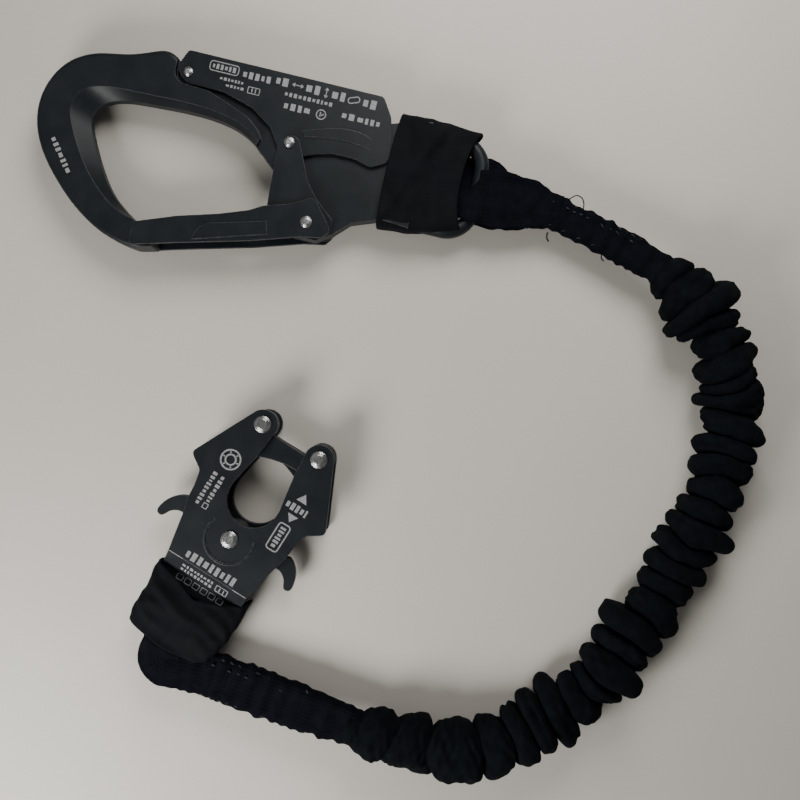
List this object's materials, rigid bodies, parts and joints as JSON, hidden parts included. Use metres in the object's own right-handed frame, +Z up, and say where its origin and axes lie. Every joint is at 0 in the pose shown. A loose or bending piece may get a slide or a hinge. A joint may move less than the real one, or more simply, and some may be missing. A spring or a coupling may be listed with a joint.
{
  "type": "shock absorbing lanyard",
  "caption": "Short safety lanyard: double-action hook, gathered elastic webbing strap and a push-on connector with paired jaws and squeeze triggers.",
  "frame": {"origin": "middle of the footprint of the two metal connectors, on the surface the lanyard lies on", "axes": "+Z up from that surface; +Y towards the hook, across the open side of the strap's loop; +X towards the gathered strap's bulge"},
  "size_m": [0.2651, 0.2662, 0.0232],
  "materials": {
    "black_metal": "satin black anodised",
    "bright_steel": "plain rivet steel",
    "spring_steel": "drawn wire and sheet",
    "black_webbing": "woven polyester, matte",
    "black_elastic": "woven elastic, matte",
    "core_elastic": "elastic core",
    "black_thread": "bonded thread"
  },
  "bodies": {
    "lanyard": {"hook_body": "black_metal", "lever_pivot_rivet": "bright_steel", "gate_pivot_rivet": "bright_steel", "gate_spring": "spring_steel", "lever_spring": "spring_steel", "upper_keeper": "black_elastic", "upper_webbing_loop": "black_webbing", "upper_stitched_webbing": "black_webbing", "gathered_sleeve": "black_webbing", "elastic_core": "core_elastic", "lower_stitched_webbing": "black_webbing", "lower_webbing_loop": "black_webbing", "upper_stitches": "black_thread", "lower_stitches": "black_thread", "connector_front_plate": "black_metal", "connector_rear_plate": "black_metal", "tail_bar": "bright_steel", "tail_bar_pins": "bright_steel", "left_jaw_spring": "spring_steel", "right_jaw_spring": "spring_steel", "left_trigger_spring": "spring_steel", "right_trigger_spring": "spring_steel", "jaw_spacers": "bright_steel", "left_jaw_rivet": "bright_steel", "right_jaw_rivet": "bright_steel", "centre_rivet": "bright_steel", "lower_keeper": "black_elastic"},
    "lever": {"hook_lever": "black_metal", "link_rivets": "bright_steel"},
    "link": {"hook_link_front": "black_metal", "hook_link_rear": "black_metal", "link_pins": "bright_steel"},
    "gate": {"hook_gate": "black_metal"},
    "left_trigger": {"left_trigger": "black_metal"},
    "left_rod": {"left_pull_rod": "spring_steel"},
    "left_jaw": {"left_jaw": "black_metal"},
    "right_trigger": {"right_trigger": "black_metal"},
    "right_rod": {"right_pull_rod": "spring_steel"},
    "right_jaw": {"right_jaw": "black_metal"}
  },
  "joints": [
    {"name": "lever_press", "type": "hinge", "parent": "lanyard", "child": "lever", "pos_m": [-0.02734, 0.10197, 0.0084], "axis": [0, 0, -1], "range_deg": [0, 4.5], "stiffness_Nm_per_rad": 1.5, "springref_deg": -4.58, "deforming": ["lever_spring"]},
    {"name": "gate_open", "type": "hinge", "parent": "lanyard", "child": "gate", "pos_m": [0.0157, 0.0468, 0.0084], "axis": [0, 0, -1], "range_deg": [0, 33.4], "stiffness_Nm_per_rad": 0.02, "springref_deg": -17.19, "deforming": ["gate_spring"]},
    {"name": "link_swing", "type": "hinge", "parent": "lever", "child": "link", "pos_m": [0.00949, 0.07598, 0.0084], "axis": [0, 0, 1], "range_deg": [0, 4.2]},
    {"name": "left_trigger_press", "type": "hinge", "parent": "lanyard", "child": "left_trigger", "pos_m": [-0.012, -0.0675, 0.0084], "axis": [0, 0, 1], "range_deg": [0, 14.6], "stiffness_Nm_per_rad": 0.05, "springref_deg": -11.46, "deforming": ["left_trigger_spring"]},
    {"name": "left_rod_swing", "type": "hinge", "parent": "left_trigger", "child": "left_rod", "pos_m": [-0.02615, -0.05619, 0.0084], "axis": [0, 0, -1], "range_deg": [0, 14.6]},
    {"name": "left_jaw_open", "type": "hinge", "parent": "lanyard", "child": "left_jaw", "pos_m": [0.00003, -0.02601, 0.0084], "axis": [0, 0, -1], "range_deg": [0, 70.2], "stiffness_Nm_per_rad": 0.02, "springref_deg": -17.19, "deforming": ["left_jaw_spring"]},
    {"name": "right_trigger_press", "type": "hinge", "parent": "lanyard", "child": "right_trigger", "pos_m": [-0.012, -0.0675, 0.0084], "axis": [0, 0, -1], "range_deg": [0, 14.6], "stiffness_Nm_per_rad": 0.05, "springref_deg": -11.46, "deforming": ["right_trigger_spring"]},
    {"name": "right_rod_swing", "type": "hinge", "parent": "right_trigger", "child": "right_rod", "pos_m": [0.00428, -0.07543, 0.0084], "axis": [0, 0, 1], "range_deg": [0, 14.6]},
    {"name": "right_jaw_open", "type": "hinge", "parent": "lanyard", "child": "right_jaw", "pos_m": [0.02032, -0.03883, 0.0084], "axis": [0, 0, 1], "range_deg": [0, 70.2], "stiffness_Nm_per_rad": 0.02, "springref_deg": -17.19, "deforming": ["right_jaw_spring"]}
  ],
  "couplings": [
    {"joint": "gate_open", "follows": "lever_press", "ratio": 7.4},
    {"joint": "link_swing", "follows": "lever_press", "ratio": 0.92},
    {"joint": "left_jaw_open", "follows": "left_trigger_press", "ratio": 4.8},
    {"joint": "left_rod_swing", "follows": "left_trigger_press", "ratio": 0.993},
    {"joint": "right_jaw_open", "follows": "right_trigger_press", "ratio": 4.8},
    {"joint": "right_rod_swing", "follows": "right_trigger_press", "ratio": 0.993}
  ]
}
